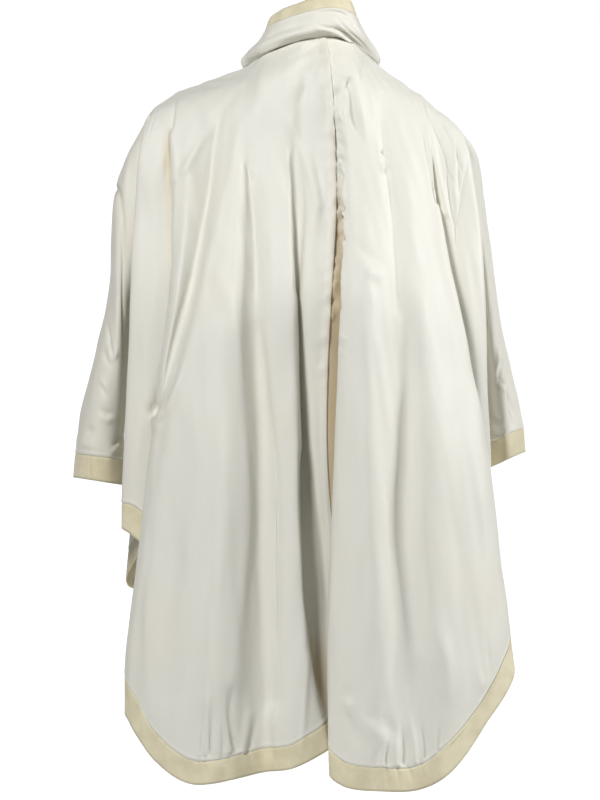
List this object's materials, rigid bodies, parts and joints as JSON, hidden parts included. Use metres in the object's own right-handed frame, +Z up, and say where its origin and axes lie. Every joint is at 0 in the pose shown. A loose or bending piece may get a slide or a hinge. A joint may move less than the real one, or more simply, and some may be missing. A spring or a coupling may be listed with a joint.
{
  "type": "hooded cape",
  "caption": "Sleeved hip-length cape of pale satin cloth with a lowered funnel hood, lapped knife folds, a rounded lobed back hem and contrasting bands; worn form, hollow and open.",
  "frame": {"origin": "in the neck opening, midway between the shoulders at the height of the neck's side points", "axes": "+Z up, the cape's longest extent; the back faces -Y and the front +Y; the wearer's right is +X"},
  "size_m": [0.5978, 0.433, 1.0154],
  "materials": {
    "satin_cloth": "satin sheen",
    "band_cloth": "matt, suede-like"
  },
  "bodies": {
    "root": {"back_left": "satin_cloth", "back_right": "satin_cloth", "front_left": "satin_cloth", "front_right": "satin_cloth", "sleeve_left": "satin_cloth", "sleeve_right": "satin_cloth", "cuff_left": "band_cloth", "cuff_right": "band_cloth", "hood": "satin_cloth", "hood_band": "band_cloth", "hem_back_left": "band_cloth", "hem_back_right": "band_cloth", "hem_front_left": "band_cloth", "hem_front_right": "band_cloth"}
  },
  "joints": []
}
